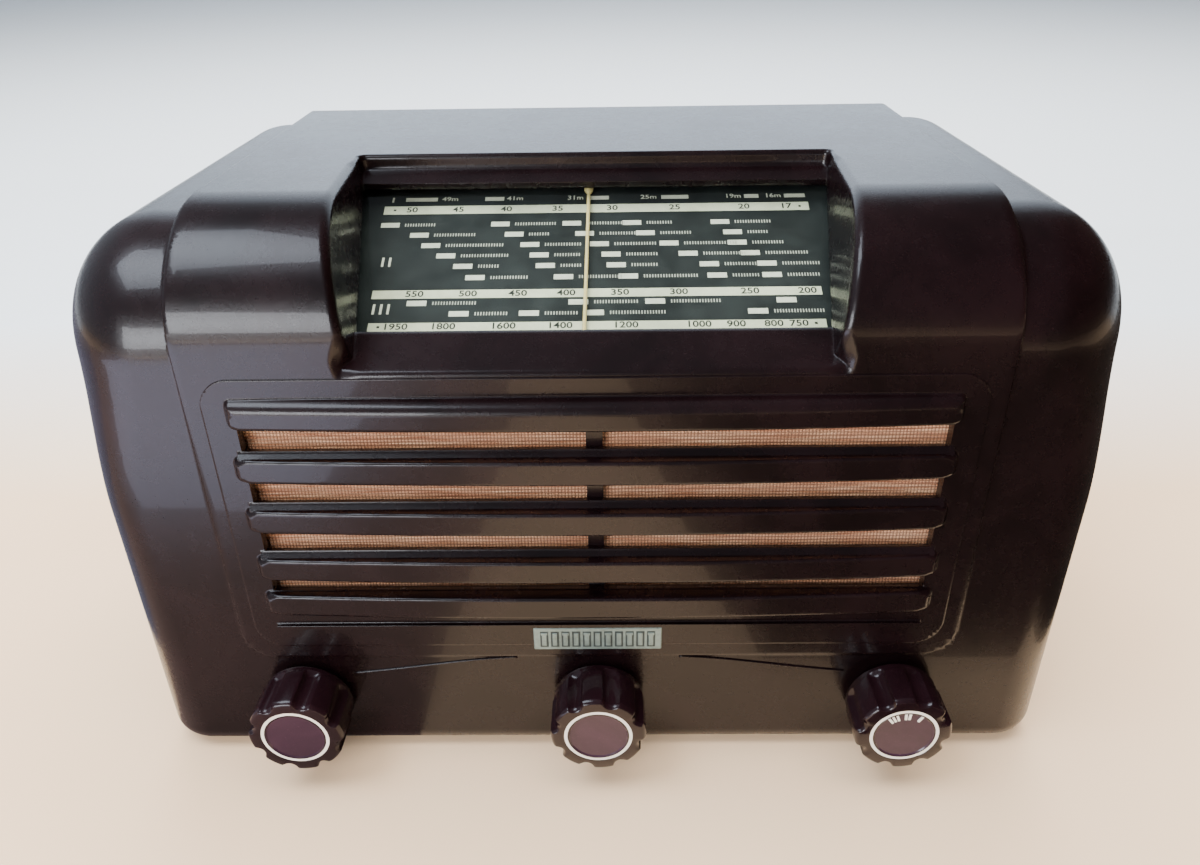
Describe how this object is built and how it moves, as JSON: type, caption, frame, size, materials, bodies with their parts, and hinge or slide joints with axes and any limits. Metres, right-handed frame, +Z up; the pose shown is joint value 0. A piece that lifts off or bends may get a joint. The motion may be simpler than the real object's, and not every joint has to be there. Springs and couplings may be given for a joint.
{
  "type": "bakelite table radio",
  "caption": "Moulded table radio with a sloping dial, louvred speaker grille, three fluted knobs, a cord-driven tuning gang and a full valve chassis.",
  "frame": {"origin": "middle of the footprint, knobs included, at the bottom of the feet", "axes": "+Z up, +Y towards the back cover, +X to the right as seen from the knobs"},
  "size_m": [0.29, 0.1726, 0.1764],
  "materials": {
    "bakelite": "polished phenolic moulding, dark brown-black with fine mottling",
    "knob_bakelite": "dark maroon moulded phenolic with a white filled ring",
    "badge_metal": "pale blue-grey worn metal plate",
    "clear_glass": "clear flat glass",
    "scale_print": "matt dark green-grey scale plate with pale print",
    "pointer_cream": "cream enamel",
    "cord_textile": "braided waxed cord",
    "brass": "dull brass",
    "aluminium": "plain aluminium",
    "plated_steel": "cadmium-plated sheet steel",
    "bright_steel": "turned steel",
    "black_metal": "black enamel",
    "core_steel": "varnished steel laminations",
    "winding": "waxed paper and varnished copper winding",
    "lamp_glass": "clear lamp bulb",
    "valve_glass": "valve glass with a metal base",
    "laminate": "phenolic paper laminate",
    "felt": "dark felt",
    "board": "thin plywood",
    "grille_cloth": "coarse copper-brown woven cloth",
    "paper_cone": "pressed paper",
    "ceramic": "waxed paper and ceramic bodies",
    "fibreboard": "pressed brown fibreboard",
    "rubber": "black rubber"
  },
  "bodies": {
    "case": {"cabinet": "bakelite", "badge": "badge_metal", "dial_glass": "clear_glass", "dial_scale": "scale_print", "glass_clips": "plated_steel", "clip_screws": "plated_steel", "dial_bracket": "plated_steel", "pointer_rail": "bright_steel", "drive_cord": "cord_textile", "lamp_holders": "brass", "dial_lamps": "lamp_glass", "capacitor_frame": "plated_steel", "capacitor_stators": "aluminium", "felt_washers": "felt", "volume_control": "laminate", "mains_switch": "laminate", "bush_nuts": "brass", "tuning_bush": "brass", "band_switch": "laminate", "baffle_board": "board", "grille_cloth": "grille_cloth", "speaker_basket": "black_metal", "speaker_magnet": "plated_steel", "speaker_screws": "plated_steel", "output_transformer": "core_steel", "transformer_winding": "winding", "chassis": "plated_steel", "chassis_screws": "plated_steel", "valve_sockets": "laminate", "mixer_valve": "valve_glass", "if_valve": "valve_glass", "output_valve": "valve_glass", "rectifier_valve": "valve_glass", "if_can_first": "aluminium", "if_can_second": "aluminium", "coil_pack": "winding", "smoothing_capacitor": "aluminium", "dropper_resistor": "ceramic", "small_components": "ceramic", "back_cover": "fibreboard", "back_screws": "plated_steel", "socket_strip": "laminate", "inlet_grommet": "rubber", "feet": "rubber"},
    "volume": {"volume_knob": "knob_bakelite", "volume_shaft": "bright_steel", "volume_grub_screw": "bright_steel"},
    "tuning": {"tuning_knob": "knob_bakelite", "tuning_spindle": "bright_steel", "tuning_grub_screw": "bright_steel"},
    "band": {"band_knob": "knob_bakelite", "band_shaft": "bright_steel", "band_grub_screw": "bright_steel", "band_switch_rotor": "laminate"},
    "pointer": {"pointer": "pointer_cream"},
    "gang": {"drive_drum": "aluminium", "capacitor_rotor": "aluminium"},
    "idler_a": {"idler_left": "brass"},
    "idler_b": {"idler_right": "brass"},
    "cone": {"speaker_cone": "paper_cone"}
  },
  "joints": [
    {"name": "volume_turn", "type": "hinge", "parent": "case", "child": "volume", "pos_m": [-0.092, -0.06867, 0.0248], "axis": [0, 1, 0], "range_deg": [0, 290]},
    {"name": "tuning_turn", "type": "hinge", "parent": "case", "child": "tuning", "pos_m": [0, -0.06867, 0.0248], "axis": [0, 1, 0], "range_deg": [-888, 945]},
    {"name": "band_turn", "type": "hinge", "parent": "case", "child": "band", "pos_m": [0.092, -0.06867, 0.0248], "axis": [0, 1, 0], "range_deg": [-30, 30]},
    {"name": "pointer_slide", "type": "slide", "parent": "case", "child": "pointer", "axis": [1, 0, 0], "range_m": [-0.062, 0.066]},
    {"name": "gang_turn", "type": "hinge", "parent": "case", "child": "gang", "pos_m": [-0.085, 0.01432, 0.082], "axis": [0, 1, 0], "range_deg": [-87.2, 92.8]},
    {"name": "idler_left_turn", "type": "hinge", "parent": "case", "child": "idler_a", "pos_m": [-0.088, 0.01432, 0.163], "axis": [0, 1, 0], "range_deg": [-592.1, 630.1]},
    {"name": "idler_right_turn", "type": "hinge", "parent": "case", "child": "idler_b", "pos_m": [0.088, 0.01432, 0.163], "axis": [0, 1, 0], "range_deg": [-592.1, 630.1]},
    {"name": "cone_slide", "type": "slide", "parent": "case", "child": "cone", "axis": [0, 0.9997, -0.0262], "range_m": [-0.0008, 0.0008], "stiffness_N_per_m": 1500}
  ],
  "couplings": [
    {"joint": "pointer_slide", "follows": "tuning_turn", "m_per_rad": 0.004},
    {"joint": "gang_turn", "follows": "tuning_turn", "ratio": 0.098175},
    {"joint": "idler_left_turn", "follows": "tuning_turn", "ratio": 0.66667},
    {"joint": "idler_right_turn", "follows": "tuning_turn", "ratio": 0.66667}
  ]
}
